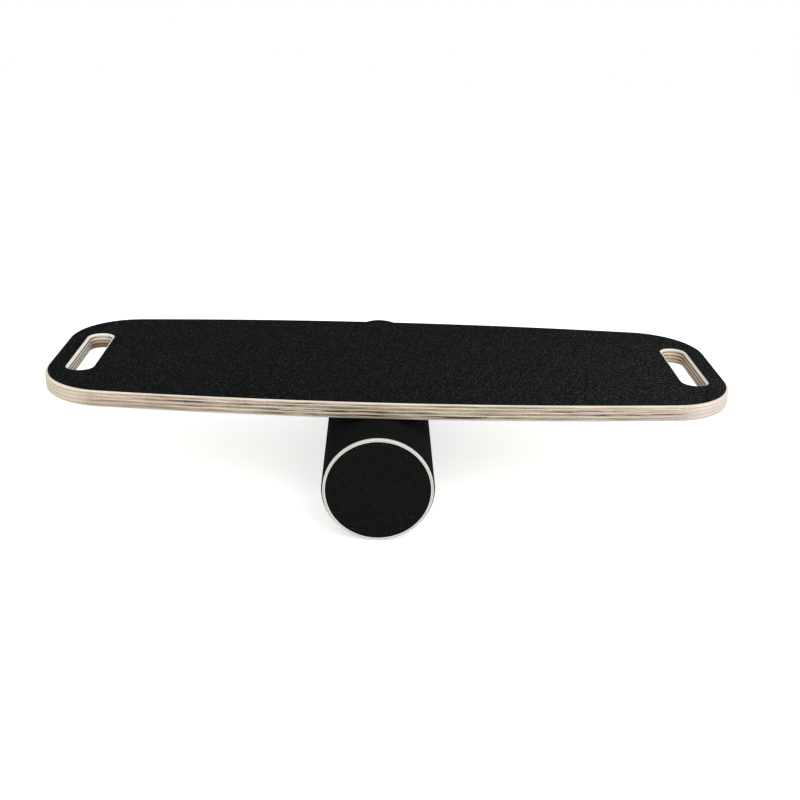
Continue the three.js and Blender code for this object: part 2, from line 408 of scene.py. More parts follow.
# %% Colour the grain
def grain_colour(tree, facing, crossed, flow, from_darkest, warmth):
    """The wood's colour, the share of it that is cut across, and how far it faces up or down."""
    facing_x, facing_y, facing_z = (
        add(tree, "ShaderNodeMath", [socket], operation="ABSOLUTE")
        for socket in add(tree, "ShaderNodeSeparateXYZ", [facing]).outputs
    )
    cut_across = add(tree, "ShaderNodeMix", [crossed, facing_x, facing_y])
    cut_share = share_of(tree, [(from_darkest, EVEN_FROM, EVEN_TO, 1, 0.6)], cut_across)
    long_grain, cut_grain, tints = (
        paint_ramp(add(tree, "ShaderNodeValToRGB", [source]), stops)
        for source, stops in ((flow, LONG_GRAIN), (flow, CUT_GRAIN), (warmth, PATCH_TINTS))
    )
    wood = add(tree, "ShaderNodeMix", [cut_share, long_grain, cut_grain], data_type="RGBA")
    wood = add(
        tree, "ShaderNodeMix", [1, wood, tints], data_type="RGBA", blend_type="MULTIPLY"
    )
    return wood, cut_across, facing_z


# %% Plywood finish
def birch_plywood(name, origin, rotation):
    """origin is at the foot of the stack of sheets, and rotation turns the stack from +Z."""
    finish, tree, shader = new_finish(name)
    where = add(tree, "ShaderNodeTexCoord", [])
    at, facing = (
        add(
            tree,
            "ShaderNodeMapping",
            {"Vector": where.outputs[source], "Location": place, "Rotation": rotation},
            vector_type="TEXTURE",
        )
        for source, place in (("Object", origin), ("Normal", (0, 0, 0)))
    )
    rise, crossed, ply = sheet_at(tree, at)
    flow, lines, dashes = grain_of(tree, at, crossed, ply)
    from_darkest, crowd, warmth = patches_of(tree, at, ply)
    wood, cut_across, facing_z = grain_colour(
        tree, facing, crossed, flow, from_darkest, warmth
    )

    # shades, with a painted shade low on the edge, the rounding, sanded and with a painted
    # highlight, and the dashes
    torn = add(tree, "ShaderNodeTexNoise", {"Vector": at, "Scale": 1 / SAW_FUZZ, "Detail": 3})
    height = add(tree, "ShaderNodeSeparateXYZ", [at]).outputs["Z"]
    shades = [
        (lines, 0.35, 0.65, 0.80, 1.08),
        (torn, 0.35, 0.65, 0.86, 1.12),
        # the lower part of the edge is painted darker: painted shade
        (height, 0, PAINTED_SHADE_HEIGHT, 0.80, 1),
    ]
    shaded = [wood, share_of(tree, shades)]
    wood = add(tree, "ShaderNodeVectorMath", shaded, operation="SCALE")
    dashed = [
        (dashes, 0.51, 0.54, 0, 1),
        (crowd, 0.46, 0.62, 0.10, 0.95),
        (cut_across, 0, 1, 0.3, 1),
        (facing_z, 0.3, 0.9, 1, 0),
    ]
    # the rounding is painted paler where it faces up or down: partly sanding, partly a painted
    # highlight
    sanded_and_lit = add(tree, "ShaderNodeMapRange", [facing_z, 0.3, 0.85, 0, 0.5])
    for share, hex_value in ((sanded_and_lit, ARRIS), (share_of(tree, dashed), DASH)):
        wood = add(tree, "ShaderNodeMix", [share, wood, colour(hex_value)], data_type="RGBA")

    # a thin clear seal: satin, and a little glossier on the raised grain
    relief = {"Height": lines, "Distance": GRAIN_RELIEF, "Strength": 0.5}
    look = {
        "Base Color": wood,
        "Roughness": add(tree, "ShaderNodeMapRange", [lines, 0.3, 0.7, 0.68, 0.5]),
        "Normal": add(tree, "ShaderNodeBump", relief),
        "Specular IOR Level": 0.3,
    }
    feed(shader, look)
    return finish, rise, crossed, cut_across


# %% [markdown]
# ## Burnt and shaded slots, and lined corners
# A router heats the wood, most of all where it cuts across the fibres. To the eye a slot's wall has
# pale and dark stripes and burnt lines in the joints under its rim. Its foot is painted darker as
# painted shade deep in the slot, and its end takes a painted shade that is warmed by the light the
# wooden walls bounce onto it. Its rim takes a painted highlight where it turns up to the lamps.
# The board's four corners stay pale, with thin glue lines between the sheets. Each tint is a pair,
# one for the left end of the board and one for the right, and the place along the board mixes
# them. The glue is really about 0.1 mm thick. Its lines are drawn wider so that they show.

# %% Slot and corner sizes
GLUE_LINE = 0.6 * MM
BURNT_LINE = 1.6 * MM
END_SHADE_REACH = 12 * MM  # how far along a slot its painted shade at the end reaches
SLOT_MARGIN = 3 * MM  # how far past its walls a slot's finish goes
SIDE_FADE, END_FADE = 1 * MM, 3 * MM  # and how it fades there, beside the slot and past its end
RIM_DEPTH, RIM_CLEAR = 4 * MM, 1 * MM  # the wall's tints fade out between these depths
CORNER_FADE = 6 * MM
slot_half, slot_end = SLOT_WIDTH / 2, SLOT_LENGTH / 2
half_board = board_thickness / 2

# %% Slot and corner tints
# the left end's colour, then the right end's
SLOT_TINTS = ("#f2f6fa", "#f8ecd8")
SLOT_PALE = ("#f3f0e8", "#f8ecdc")
SLOT_LINES = ("#62564a", "#32230f")
SLOT_BURNT = ("#9a8e80", "#2c1c08")
# painted shade at the foot of a slot's wall, deep in the slot
SLOT_FOOT_SHADE = ("#d8d0c4", "#c0a385")
# painted shade at a slot's end, warmed by the light its wooden walls bounce onto it
SLOT_END_SHADE = ("#8e6014", "#f0e8e0")
# painted highlight on a slot's rim, where it turns up to the lamps
SLOT_RIM_HIGHLIGHT = ("#ecebe4", "#f0e6d8")
CORNER_PALE = ("#f6e8d2", "#f4e8de")
CORNER_LINES = ("#6c563e", "#6c584a")


# %% Measure the board in nodes
def board_measures(tree):
    """A point's height and reach from the board's middle, the way it faces, and its end."""
    where = add(tree, "ShaderNodeTexCoord", [])
    at = add(
        tree,
        "ShaderNodeMapping",
        {"Vector": where.outputs["Object"], "Location": deck_at},
        vector_type="TEXTURE",
    )
    along, _, height = add(tree, "ShaderNodeSeparateXYZ", [at]).outputs
    away = add(tree, "ShaderNodeVectorMath", [at], operation="ABSOLUTE")
    far_x, far_y, _ = add(tree, "ShaderNodeSeparateXYZ", [away]).outputs
    x, y, z = add(tree, "ShaderNodeSeparateXYZ", [where.outputs["Normal"]]).outputs
    slanted = add(tree, "ShaderNodeMath", [x, y], operation="MULTIPLY")
    return SimpleNamespace(
        height=height,
        far_x=far_x,
        far_y=far_y,
        up=add(tree, "ShaderNodeMath", [z], operation="ABSOLUTE"),
        slant=add(tree, "ShaderNodeMath", [slanted], operation="ABSOLUTE"),
        end=add(tree, "ShaderNodeMapRange", [along, -slot_x, slot_x, 0, 1]),
    )


def tinted(tree, wood, here, share, tints, blend):
    """Lays a share of a pair of tints over the wood, mixed by the place along the board."""
    pair = [here.end, *(colour(hex_value) for hex_value in tints)]
    tint = add(tree, "ShaderNodeMix", pair, data_type="RGBA")
    return add(
        tree, "ShaderNodeMix", [share, wood, tint], data_type="RGBA", blend_type=blend
    )


# %% Find the slots
def slot_and_wall(tree, here):
    """The share of a slot and the wood close round it, and that of its wall below the rim."""
    from_slot = add(tree, "ShaderNodeMath", [here.far_x, slot_x], operation="SUBTRACT")
    aside = add(tree, "ShaderNodeMath", [from_slot], operation="ABSOLUTE")
    beside, beyond = slot_half + SLOT_MARGIN, slot_end + SLOT_MARGIN
    in_slot = [
        (aside, beside, beside + SIDE_FADE, 1, 0),
        (here.far_y, beyond, beyond + END_FADE, 1, 0),
    ]
    on_wall = [
        (here.up, 0.3, 0.8, 0.9, 0),
        (here.height, half_board - RIM_DEPTH, half_board - RIM_CLEAR, 1, 0),
    ]
    slot = share_of(tree, in_slot)
    return slot, share_of(tree, on_wall, slot)


# %% Burn and shade the slots
def burn_and_shade_slots(tree, wood, here, rise, crossed, cut_across):
    slot, wall = slot_and_wall(tree, here)
    burnt = add(tree, "ShaderNodeMath", [rise, LONG_PLY, BURNT_LINE / 2], operation="COMPARE")
    in_cross_sheets = [
        (crossed, 0, 1, 0, 1),
        (cut_across, 0, 1, 0.4, 0.8),
    ]
    in_long_sheets = [
        (crossed, 0, 1, 0.9, 0),
        (here.height, -half_board, half_board / 2, 0.55, 1),
        (here.far_y, slot_reach, slot_end, 1, 0.3),
    ]
    under_the_rim = [
        (burnt, 0, 1, 0, 0.9),
        (here.up, 0.3, 0.8, 1, 0),
        (here.height, -half_board / 2, 0, 0, 1),
        (here.far_y, slot_reach, slot_end, 1, 0.2),
    ]
    # the wall is painted darker towards its foot: painted shade
    shade_at_the_foot = [
        (here.height, -half_board, half_board / 2, 1, 0),
        (here.far_y, slot_reach, slot_end, 1, 0.4),
    ]
    # the slot's end is painted a warm darker brown: painted shade warmed by bounced light
    shade_at_its_end = [
        (here.far_y, slot_reach - END_SHADE_REACH, slot_reach + END_SHADE_REACH / 2, 0, 1),
        (here.height, -half_board / 3, half_board / 2, 1, 0),
    ]
    # the rim is painted paler where it faces up: painted highlight
    highlight_on_rim = [
        (here.up, 0.15, 0.6, 0, 0.75),
        (here.height, 0, half_board / 2, 0, 1),
    ]
    for base, ranges, tints, blend in (
        (wall, [], SLOT_TINTS, "MULTIPLY"),
        (wall, in_cross_sheets, SLOT_PALE, "MIX"),
        (wall, in_long_sheets, SLOT_LINES, "MULTIPLY"),
        (slot, under_the_rim, SLOT_BURNT, "MULTIPLY"),
        (wall, shade_at_the_foot, SLOT_FOOT_SHADE, "MULTIPLY"),
        (wall, shade_at_its_end, SLOT_END_SHADE, "MULTIPLY"),
        (slot, highlight_on_rim, SLOT_RIM_HIGHLIGHT, "MIX"),
    ):
        wood = tinted(tree, wood, here, share_of(tree, ranges, base), tints, blend)
    return wood


# %% Line the corners
def line_corners(tree, wood, here, rise):
    joint = add(tree, "ShaderNodeMath", [rise, LONG_PLY, GLUE_LINE / 2], operation="COMPARE")
    corner_from = slot_end + SLOT_MARGIN
    at_a_corner = [
        (here.slant, 0.15, 0.4, 0, 0.55),
        (here.far_y, corner_from, corner_from + CORNER_FADE, 0, 1),
    ]
    corner = share_of(tree, at_a_corner)
    lines = add(tree, "ShaderNodeMath", [corner, joint], operation="MULTIPLY")
    wood = tinted(tree, wood, here, corner, CORNER_PALE, "MIX")
    return tinted(tree, wood, here, lines, CORNER_LINES, "MULTIPLY")


# %% Finish the board's plywood
board_plywood, rise, crossed, cut_across = birch_plywood(
    "birch_plywood_routed", (deck_at.x, deck_at.y, board_low + SANDED_OFF), (0, 0, 0)
)
tree = board_plywood.node_tree
shader = tree.nodes["Principled BSDF"]
wood = shader.inputs["Base Color"].links[0].from_socket
here = board_measures(tree)
wood = burn_and_shade_slots(tree, wood, here, rise, crossed, cut_across)
wood = line_corners(tree, wood, here, rise)
feed(shader, {"Base Color": wood})
print(board_plywood.name, "has", len(tree.nodes), "nodes")

# %% [markdown]
# ## The board
# The real board is cut to its outline, slotted, and then run past a round-over cutter on every
# edge. Here the cutter comes first: one section of the edge is drawn, round at the bottom and the
# top, and carried along a quarter of the outline. The same section goes once round half a slot.
# Two mirrors make the whole, and the flat faces are filled between the rims.

# %% Draw and carry the routed edge
CAP_BAND = 6 * MM  # flat margin that the section carries with it
ROUND_STEPS = 6
CORNER_STEPS = 26
SIDE_STEPS = 22
SLOT_STEPS = 32


def edge_section(bm, x, low, high, rounding):
    """The edge's outline in the XZ plane, with the material on its -X side."""
    known = set(bm.edges)
    flat = CAP_BAND - rounding
    end = push(bm, [bm.verts.new((x - CAP_BAND, 0, low))], X_AXIS * flat)
    low_centre = (x - rounding, 0, low + rounding)
    high_centre = (x - rounding, 0, high - rounding)
    end = turn(bm, end, low_centre, -Y_AXIS, QUARTER, ROUND_STEPS)
    end = push(bm, end, Z_AXIS * (high - low - 2 * rounding))
    end = turn(bm, end, high_centre, -Y_AXIS, QUARTER, ROUND_STEPS)
    push(bm, end, -X_AXIS * flat)
    return drawn_since(bm, known)


def slotted_plate(low, high, inset, rounding):
    """A quarter of the outline and half a slot, mirrored twice and filled."""
    bm = bmesh.new()
    section = edge_section(bm, half_length - inset, low, high, rounding)
    end = push(bm, section, Y_AXIS * corner_centre.y)
    end = turn(bm, end, corner_centre, Z_AXIS, corner_turn, CORNER_STEPS)
    turn(bm, end, side_centre, Z_AXIS, QUARTER - corner_turn, SIDE_STEPS)

    slot_wall = slot_x - SLOT_WIDTH / 2 - inset
    section = edge_section(bm, slot_wall, low, high, rounding)
    end = push(bm, section, Y_AXIS * slot_reach)
    end = turn(bm, end, (slot_x, slot_reach, 0), Z_AXIS, -math.pi, SLOT_STEPS)
    push(bm, end, -Y_AXIS * slot_reach)

    for axis in "YX":
        everything = bm.verts[:] + bm.edges[:] + bm.faces[:]
        bmesh.ops.mirror(bm, geom=everything, axis=axis, merge_dist=WELD)
    for level in (low, high):
        rims = [e for e in bm.edges if e.is_boundary and abs(e.verts[0].co.z - level) < WELD]
        bmesh.ops.triangle_fill(bm, edges=rims, use_beauty=True, normal=Z_AXIS)
    bmesh.ops.translate(bm, verts=bm.verts, vec=(deck_at.x, deck_at.y, 0))
    return bm


# %% Make the board
bm = slotted_plate(board_low, board_high, 0, EDGE_ROUND)
make_piece("plywood_board", bm, "deck", "plywood", board_plywood, "deck_board")

# %% [markdown]
# ## The grip sheets
# The deck's sheet is a black plastic film with a layer of black grit glued to it, much like the
# tape on a skateboard. To the eye this gives a black that is dull from every side, broken by
# single grains that catch the light. The grains are about half a millimetre across, smaller than
# a pixel of this picture, so they are drawn nearly twice as coarse. More of the grains are pale
# towards the deck's right front end, which is painted light: it makes the sheet brighter there.
#
# The roller's sheet and its end discs are the same kind with a finer grit and few pale grains, so
# they look smoother. A cell pattern holds one grain in each cell, and the cell's own chance colour
# decides whether that grain is a pale one.

# %% Grit sizes
GRIT_GRAIN = 0.9 * MM  # really about 0.5 mm
FINE_GRAIN = 0.8 * MM  # really about 0.3 mm
GRIT_RELIEF = 0.2 * MM
FINE_RELIEF = 0.1 * MM
CLOUD_LENGTH = 60 * MM
CLOUD_LIFT = 0.008
# more grains are pale towards this spot on the deck's right front end: painted light
PAINTED_LIGHT_AT = Vector((364, -110, 131)) * MM
PAINTED_LIGHT_REACH = 400 * MM
print("most rubbed at", in_mm(PAINTED_LIGHT_AT))


# %% Grit finish
def grit_sheet(name, grain, dark, pale, speck, speck_shares, roughness, gloss, depth):
    """speck_shares are the shares of pale grains: far off, and at the spot where light is painted.
    """
    finish, tree, shader = new_finish(name)
    at = add(tree, "ShaderNodeTexCoord", []).outputs["Object"]

    # dark and less dark grains, in faint clouds
    fine = {"Vector": at, "Scale": 1 / grain, "Detail": 2, "Roughness": 0.7}
    broad = {"Vector": at, "Scale": 1 / CLOUD_LENGTH, "Detail": 2}
    grains, clouds = (add(tree, "ShaderNodeTexNoise", inputs) for inputs in (fine, broad))
    lift = add(tree, "ShaderNodeMapRange", [clouds, 0.3, 0.7, -CLOUD_LIFT, CLOUD_LIFT])
    tone = add(tree, "ShaderNodeMath", [grains, lift], operation="ADD")
    ramp = paint_ramp(add(tree, "ShaderNodeValToRGB", [tone]), [(0.43, dark), (0.58, pale)])

    # the pale grains
    cells = add(tree, "ShaderNodeTexVoronoi", {"Vector": at, "Scale": 1 / grain})
    chance = add(tree, "ShaderNodeSeparateColor", [cells.outputs["Color"]])
    # towards one spot more of the grains are pale: painted light
    away = add(tree, "ShaderNodeVectorMath", [at, PAINTED_LIGHT_AT], operation="DISTANCE")
    elsewhere, brightened = speck_shares
    share = add(tree, "ShaderNodeMapRange", [away, 0, PAINTED_LIGHT_REACH, brightened, elsewhere])
    chosen = add(tree, "ShaderNodeMath", [chance, share], operation="LESS_THAN")
    speckled = share_of(tree, [(cells.outputs["Distance"], 0.2, 0.4, 1, 0)], chosen)

    relief = {"Height": grains, "Distance": depth, "Strength": 0.6}
    look = {
        "Base Color": add(
            tree, "ShaderNodeMix", [speckled, ramp, colour(speck)], data_type="RGBA"
        ),
        "Normal": add(tree, "ShaderNodeBump", relief),
        "Roughness": roughness,
        "Specular IOR Level": gloss,
    }
    feed(shader, look)
    print(name, "with grains of", round(grain / MM, 1), "mm")
    return finish


# %% Finish both kinds of sheet
deck_grit = grit_sheet(
    "black_grit_sheet",
    grain=GRIT_GRAIN,
    dark="#000000",
    pale="#191b1b",
    speck="#686d6b",
    speck_shares=(0.15, 0.56),
    roughness=0.95,
    gloss=0.02,
    depth=GRIT_RELIEF,
)
roller_grit = grit_sheet(
    "black_grit_sheet_fine",
    grain=FINE_GRAIN,
    dark="#101010",
    pale="#1b1b1c",
    speck="#5c5e5d",
    speck_shares=(0.012, 0.012),
    roughness=1.0,
    gloss=0.01,
    depth=FINE_RELIEF,
)

# %% [markdown]
# ## The deck's sheet
# The sheet is stamped with the board's own outline, drawn in by just under 3 mm, and its slot
# holes are wider than the wooden ones by the same margin. So the same function makes it, with a
# smaller rounding for the soft cut edge.

# %% Make the deck's sheet
SHEET_ROUND = 0.25 * MM
bm = slotted_plate(sheet_low, sheet_high, sheet_inset, SHEET_ROUND)
make_piece("deck_sheet", bm, "deck", "deck_grip", deck_grit, "deck_grip_sheet")

# %% [markdown]
# ## The pipe
# The roller's core is a PVC pipe of 110 mm with a wall of 2.7 mm. Such pipe is drawn out of one
# machine in three layers, two smooth skins on a duller core, and is then cut off with a saw. To
# the eye this gives cream plastic with a soft gloss, slightly clouded by the saw where it is cut,
# and a fine greyer line round the middle of the wall. The finish reads the distance from the
# roller's axis, so the line follows the pipe all round.

# %% Pipe finish
PLUG_FIT = 0.15 * MM
SAW_MARKS = 1.1 * MM  # really about 0.3 mm, drawn coarser to show
SAW_RELIEF = 0.05 * MM
PIPE_LAYERS = [
    (0.0, "#e6e4dd"),
    (0.32, "#e4e2da"),
    (0.42, "#a59d8d"),
    (0.58, "#a59d8d"),
    (0.68, "#e2e0d8"),
    (1.0, "#dfddd4"),
]
bore_radius = size("end_plug_front").x / 2 + PLUG_FIT


def layered_pvc():
    finish, tree, shader = new_finish("cream_pvc_layered")
    where = add(tree, "ShaderNodeTexCoord", []).outputs["Object"]
    centred = {"Vector": where, "Location": roller_at}
    at = add(tree, "ShaderNodeMapping", centred, vector_type="TEXTURE")
    # the distance from the roller's axis, which lies along Y
    flat = add(tree, "ShaderNodeVectorMath", [at, (1, 0, 1)], operation="MULTIPLY")
    radius = add(tree, "ShaderNodeVectorMath", [flat], operation="LENGTH")
    depth = add(tree, "ShaderNodeMapRange", [radius, bore_radius, pipe_radius, 0, 1])
    layers = paint_ramp(add(tree, "ShaderNodeValToRGB", [depth]), PIPE_LAYERS)
    saw = add(tree, "ShaderNodeTexNoise", {"Vector": at, "Scale": 1 / SAW_MARKS, "Detail": 3})
    shade = add(tree, "ShaderNodeMapRange", [saw, 0.3, 0.7, 0.93, 1.02])
    relief = {"Height": saw, "Distance": SAW_RELIEF, "Strength": 0.4}
    look = {
        "Base Color": add(tree, "ShaderNodeVectorMath", [layers, shade], operation="SCALE"),
        "Normal": add(tree, "ShaderNodeBump", relief),
        "Roughness": 0.42,
    }
    feed(shader, look)
    return finish


pipe_finish = layered_pvc()
print(pipe_finish.name, "from radius", *[round(r / MM, 2) for r in (bore_radius, pipe_radius)])

# %% [markdown]
# ## Rings round the roller
# The pipe and its sheet are both a small rectangle that goes round the roller's axis. The
# rectangle is drawn, its corners are broken with a bevel, and it is spun: right round for the
# pipe, and short of a full turn for the sheet, whose two ends meet in a seam low on the right.

# %% Draw a wall's section
ARRIS_STEPS = 2


def wall_section(bm, inner, outer, half, corner):
    """A rectangle between two radii in the XY plane, with its corners broken."""
    push(bm, [bm.verts.new((inner, -half, 0))], X_AXIS * (outer - inner))
    push(bm, drawn_since(bm, set()), Y_AXIS * 2 * half)
    broken(bm, bm.verts[:], corner, ARRIS_STEPS, affect="VERTICES")


# %% Make the pipe
PIPE_ROUND = 0.5 * MM
ROLLER_STEPS = 128
bm = bmesh.new()
wall_section(bm, bore_radius, pipe_radius, half_pipe, PIPE_ROUND)
bmesh.ops.delete(bm, geom=bm.faces[:], context="FACES_ONLY")
bmesh.ops.spin(
    bm,
    geom=bm.verts[:] + bm.edges[:],
    cent=(0, 0, 0),
    axis=Y_AXIS,
    angle=2 * math.pi,
    steps=ROLLER_STEPS,
    use_merge=True,
    use_duplicate=False,
)
bmesh.ops.translate(bm, verts=bm.verts, vec=roller_at)
make_piece("roller_pipe", bm, "roller", "pipe", pipe_finish, "roller_tube")

# %% Make the roller's sheet
SEAM_GAP = 0.5 * MM
SEAM_ANGLE = math.radians(140)  # from the top, round to the right
half_wrap = size("roller_wrap").y / 2
gap_turn = SEAM_GAP / wrap_radius
bm = bmesh.new()
wall_section(bm, pipe_radius, wrap_radius, half_wrap, SHEET_ROUND)
rotate(bm, bm.verts, SEAM_ANGLE - QUARTER + gap_turn / 2, "Y")
turn(
    bm,
    bm.verts[:] + bm.edges[:] + bm.faces[:],
    (0, 0, 0),
    Y_AXIS,
    2 * math.pi - gap_turn,
    ROLLER_STEPS,
)
bmesh.ops.translate(bm, verts=bm.verts, vec=roller_at)
make_piece("roller_sheet", bm, "roller", "roller_grip", roller_grit, "roller_wrap")

# %% [markdown]
# ## The end discs
# A disc of the fine black sheet lies flush in each end of the pipe and hides the plywood plug
# behind it. It is a short cylinder with its two rims rounded, like a punched disc's soft edge.


# %% Make the end discs
def make_end_disc(word):
    node = f"end_pad_{word}"
    bm = bmesh.new()
    bmesh.ops.create_cone(
        bm,
        cap_ends=True,
        segments=ROLLER_STEPS,
        radius1=size(node).x / 2,
        radius2=size(node).x / 2,
        depth=size(node).y,
    )
    rims = [e for e in bm.edges if level_along(e, "z")]
    broken(bm, rims, SHEET_ROUND, ARRIS_STEPS)
    rotate(bm, bm.verts, QUARTER, "X")
    bmesh.ops.translate(bm, verts=bm.verts, vec=middle(node))
    make_piece(f"end_disc_{word}", bm, "roller", "deck_grip", roller_grit, node)


make_end_disc("front")
make_end_disc("back")

# %% [markdown]
# ## Beech battens
# Two beech battens under the deck stop the roller from running out past the ends. Beech is planed
# smooth and oiled. To the eye this gives a pinkish tan wood with a low sheen, a faint figure along
# the batten, and its own mark, a scatter of short dark flecks. The flecks are drawn at their real
# size, as a noise that is pulled long and cut at a threshold.

# %% Beech finish
BEECH_FIGURE = (7 * MM, 140 * MM, 7 * MM)
BEECH_FLECKS = (0.35 * MM, 3.2 * MM, 0.35 * MM)
FLECK_RELIEF = 0.06 * MM


def planed_beech():
    finish, tree, shader = new_finish("planed_beech")
    at = add(tree, "ShaderNodeTexCoord", []).outputs["Object"]
    figure, flecks = (
        add(
            tree,
            "ShaderNodeTexNoise",
            {
                "Vector": add(tree, "ShaderNodeVectorMath", [at, stretch], operation="DIVIDE"),
                "Scale": 1,
                "Detail": 3,
            },
        )
        for stretch in (BEECH_FIGURE, BEECH_FLECKS)
    )
    tones = [(0.3, "#b98f68"), (0.5, "#c9a27a"), (0.7, "#d6b48f")]
    tone = paint_ramp(add(tree, "ShaderNodeValToRGB", [figure]), tones)
    mark = add(tree, "ShaderNodeMapRange", [flecks, 0.60, 0.66, 0, 0.55])
    relief = {"Height": flecks, "Distance": FLECK_RELIEF, "Strength": 0.4}
    look = {
        "Base Color": add(
            tree, "ShaderNodeMix", [mark, tone, colour("#8a5f3e")], data_type="RGBA"
        ),
        "Normal": add(tree, "ShaderNodeBump", relief),
        "Roughness": 0.5,
    }
    feed(shader, look)
    return finish


beech = planed_beech()
print(beech.name, "with flecks", round(BEECH_FLECKS[1] / MM, 1), "mm long")

# %% [markdown]
# ## Making the battens
# A batten is a bar with its lower edges rounded and three countersunk screw holes. The bar is a
# cube with bevels. The holes need a flat face with round openings, so the lower face is taken
# out, circles are laid in its plane, the rest is filled, and each circle is carried up into the
# wood: straight for the rim, then in to a point.

# %% Batten and screw sizes
STOP_ROUND, STOP_ROUND_STEPS = 4 * MM, 6
STOP_END_ROUND, STOP_END_STEPS = 1.2 * MM, 3
SCREW_FROM_END = 23 * MM
SCREW_HEAD = 8 * MM
SCREW_SHANK = 4 * MM
SCREW_LENGTH = 24 * MM
SCREW_SUNK = 0.5 * MM  # how far the head lies below the wood's face
SCREW_RIM = 0.5 * MM  # the straight edge of the head, above its cone
SCREW_FIT = 0.15 * MM  # the hole's clearance round the head
SCREW_SIDES = 48


def screw_places(word):
    """The middles of the three screw heads, on the batten's lower face."""
    low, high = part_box(f"stop_{word}")
    x = (low.x + high.x) / 2
    ends = (low.y + SCREW_FROM_END, high.y - SCREW_FROM_END)
    return [Vector((x, y, low.z)) for y in (ends[0], sum(ends) / 2, ends[1])]


print("left screws at", *[in_mm(place) for place in screw_places("left")])


# %% Round the bar
def rounded_bar(node):
    """A cube in the node's place, rounded along its lower edges and round both ends."""
    bm = bmesh.new()
    bmesh.ops.create_cube(bm, size=1)
    bmesh.ops.scale(bm, verts=bm.verts, vec=size(node))
    bmesh.ops.translate(bm, verts=bm.verts, vec=middle(node))
    low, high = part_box(node)
    along = [e for e in bm.edges if level_along(e, "x") and level_along(e, "z")]
    lower = [e for e in along if e.verts[0].co.z < middle(node).z]
    broken(bm, lower, STOP_ROUND, STOP_ROUND_STEPS)
    around = [e for e in bm.edges if level_along(e, "y")]
    ends = [e for e in around if min(abs(e.verts[0].co.y - y) for y in (low.y, high.y)) < WELD]
    broken(bm, ends, STOP_END_ROUND, STOP_END_STEPS)
    return bm


# %% Sink the screw holes
def sink_screw_holes(bm, places):
    """Opens the lower face round each screw and carries the openings up into the wood."""
    lower = min(bm.faces, key=lambda f: f.calc_center_median().z)
    bmesh.ops.delete(bm, geom=[lower], context="FACES_ONLY")
    outline = [e for e in bm.edges if e.is_boundary]
    rings = []
    for place in places:
        known = set(bm.edges)
        bmesh.ops.create_circle(
            bm,
            segments=SCREW_SIDES,
            radius=SCREW_HEAD / 2 + SCREW_FIT,
            matrix=Matrix.Translation(place),
        )
        rings.append([e for e in bm.edges if e not in known])
    bmesh.ops.triangle_fill(bm, edges=sum(rings, outline), use_beauty=True, normal=Z_AXIS)
    for ring, place in zip(rings, places):
        end = ring
        for leg in (SCREW_SUNK + SCREW_RIM, SCREW_HEAD / 2):
            end = push(bm, only(bmesh.types.BMEdge, end), Z_AXIS * leg)
            place = place + Z_AXIS * leg
        bmesh.ops.pointmerge(bm, verts=only(bmesh.types.BMVert, end), merge_co=place)


# %% Make the battens
for word in ("left", "right"):
    bm = rounded_bar(f"stop_{word}")
    sink_screw_holes(bm, screw_places(word))
    make_piece(f"batten_{word}", bm, "deck", "hardwood", beech, f"stop_{word}")

# %% [markdown]
# ## Zinc-plated steel
# The screws are steel with a thin zinc plating from a bath. To the eye this gives a bright, cool
# grey metal that is slightly cloudy, some spots duller than others. One noise drives both the
# tone and the gloss, because on the real screw both come from the same fine crystals.

# %% Zinc finish
ZINC_CLOUDS = 1.5 * MM


def zinc_plated_steel():
    finish, tree, shader = new_finish("zinc_plated_steel")
    at = add(tree, "ShaderNodeTexCoord", []).outputs["Object"]
    clouded = {"Vector": at, "Scale": 1 / ZINC_CLOUDS, "Detail": 3}
    cloud = add(tree, "ShaderNodeTexNoise", clouded)
    tones = [(0.3, "#a9aaa5"), (0.7, "#c9cac6")]
    look = {
        "Base Color": paint_ramp(add(tree, "ShaderNodeValToRGB", [cloud]), tones),
        "Roughness": add(tree, "ShaderNodeMapRange", [cloud, 0.3, 0.7, 0.22, 0.38]),
        "Metallic": 1,
    }
    feed(shader, look)
    return finish


zinc = zinc_plated_steel()
print(zinc.name, "with clouds of", round(ZINC_CLOUDS / MM, 1), "mm")

# %% [markdown]
# ## The batten screws
# Each head is a flat disc on a cone, with a cross-shaped recess for a screwdriver. The disc's face
# is filled between its rim and the cross. Then both outlines are carried down and drawn in, the
# cross to the recess's small floor, and the rim over the cone and the shank to the point.

# %% Draw a cross and draw it down
RECESS_SPAN = 4.8 * MM
RECESS_WIDTH = 1.2 * MM
RECESS_DEPTH = 1.6 * MM
RECESS_FLOOR_SHARE = 0.45  # the floor's width, as a share of the cross
POINT_LENGTH = 3 * MM
TIP_SHARE = 0.05  # the tip's width, as a share of the shank


def cross_outline(bm):
    """One line round the end of an arm, copied round in quarter turns and welded."""
    known_edges, known_points = set(bm.edges), set(bm.verts)
    half, arm = RECESS_SPAN / 2, RECESS_WIDTH / 2
    end = push(bm, [bm.verts.new((half, -arm, 0))], Y_AXIS * 2 * arm)
    end = push(bm, end, -X_AXIS * (half - arm))
    push(bm, end, Y_AXIS * (half - arm))
    arm_line = drawn_since(bm, known_edges)
    for quarter in (1, 2, 3):
        copy = bmesh.ops.duplicate(bm, geom=arm_line)["geom"]
        rotate(bm, only(bmesh.types.BMVert, copy), quarter * QUARTER, "Z")
    points = [v for v in bm.verts if v not in known_points]
    bmesh.ops.remove_doubles(bm, verts=points, dist=WELD)
    return [e for e in bm.edges if e not in known_edges]


def draw_down(bm, end, legs):
    """Carries an outline down each leg, to a share of its width, and closes the last one."""
    for depth, share in legs:
        end = push(bm, only(bmesh.types.BMEdge, end), -Z_AXIS * depth)
        bmesh.ops.scale(bm, verts=only(bmesh.types.BMVert, end), vec=(share, share, 1))
    bmesh.ops.contextual_create(bm, geom=only(bmesh.types.BMEdge, end))


